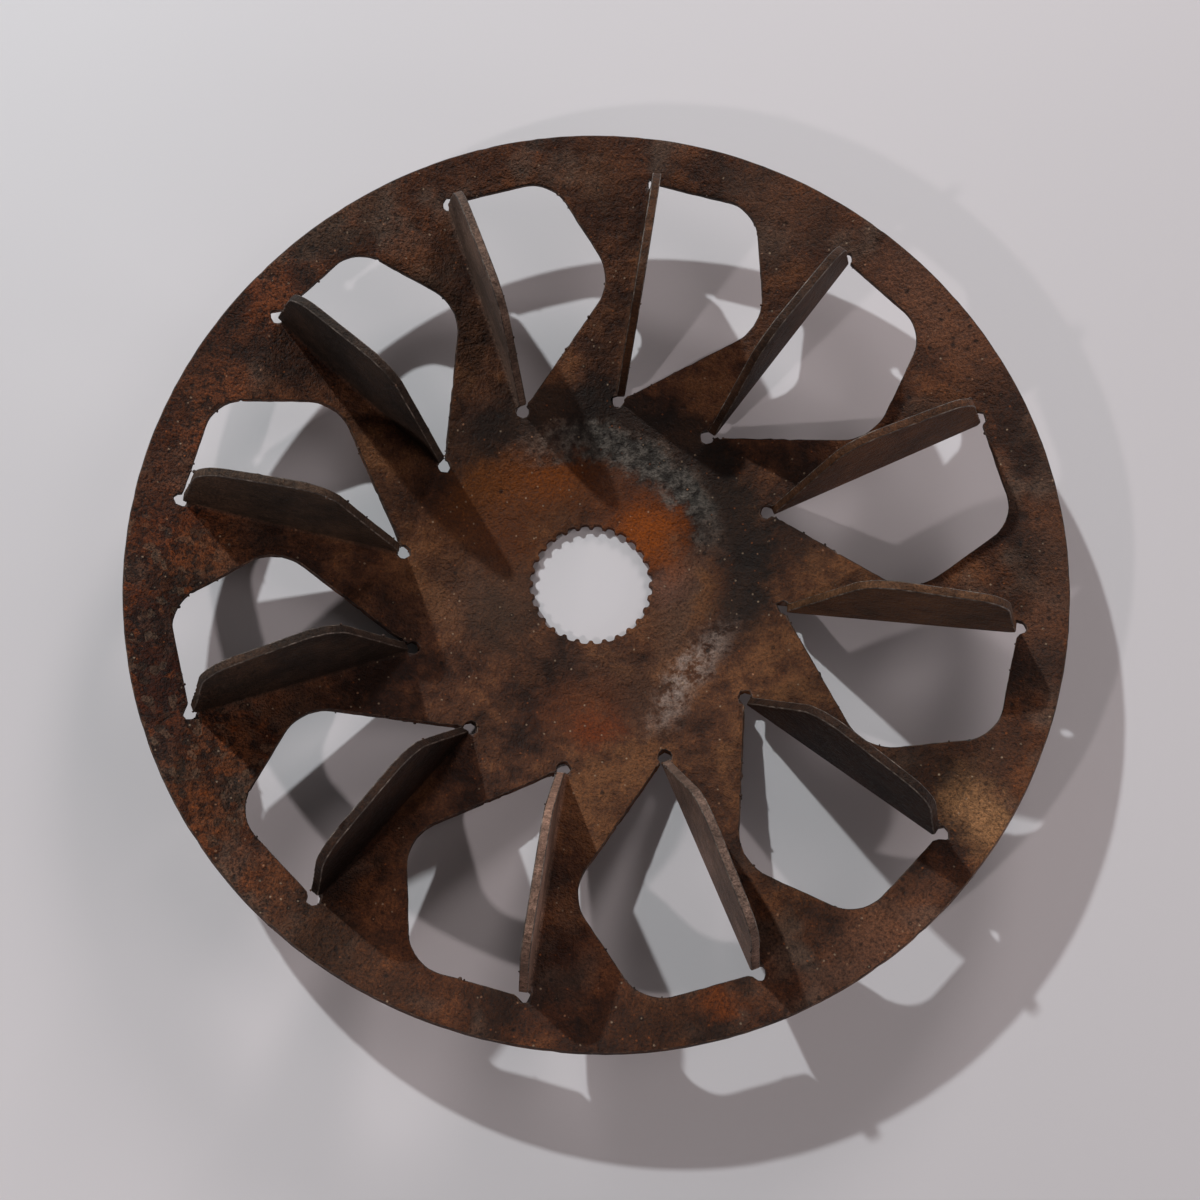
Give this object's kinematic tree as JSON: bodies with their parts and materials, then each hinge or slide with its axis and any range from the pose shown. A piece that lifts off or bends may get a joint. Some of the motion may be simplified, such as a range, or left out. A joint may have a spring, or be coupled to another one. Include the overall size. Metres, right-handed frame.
{
  "type": "engine cooling fan",
  "caption": "One-piece pressed sheet-steel cooling fan wheel: a shallow dished disc with radial blades folded up from cut windows and a splined centre bore.",
  "frame": {"origin": "centre of the bore at the hub's flat underside, which the fan rests on", "axes": "+Z along the bore axis, towards the side the blades stand on; +X at 118 degrees clockwise from blade 1"},
  "size_m": [0.2164, 0.2164, 0.0451],
  "materials": {
    "rusty_steel": "heavily rusted, bare grey steel at the hub band"
  },
  "bodies": {
    "root": {"fan_wheel": "rusty_steel"}
  },
  "joints": []
}
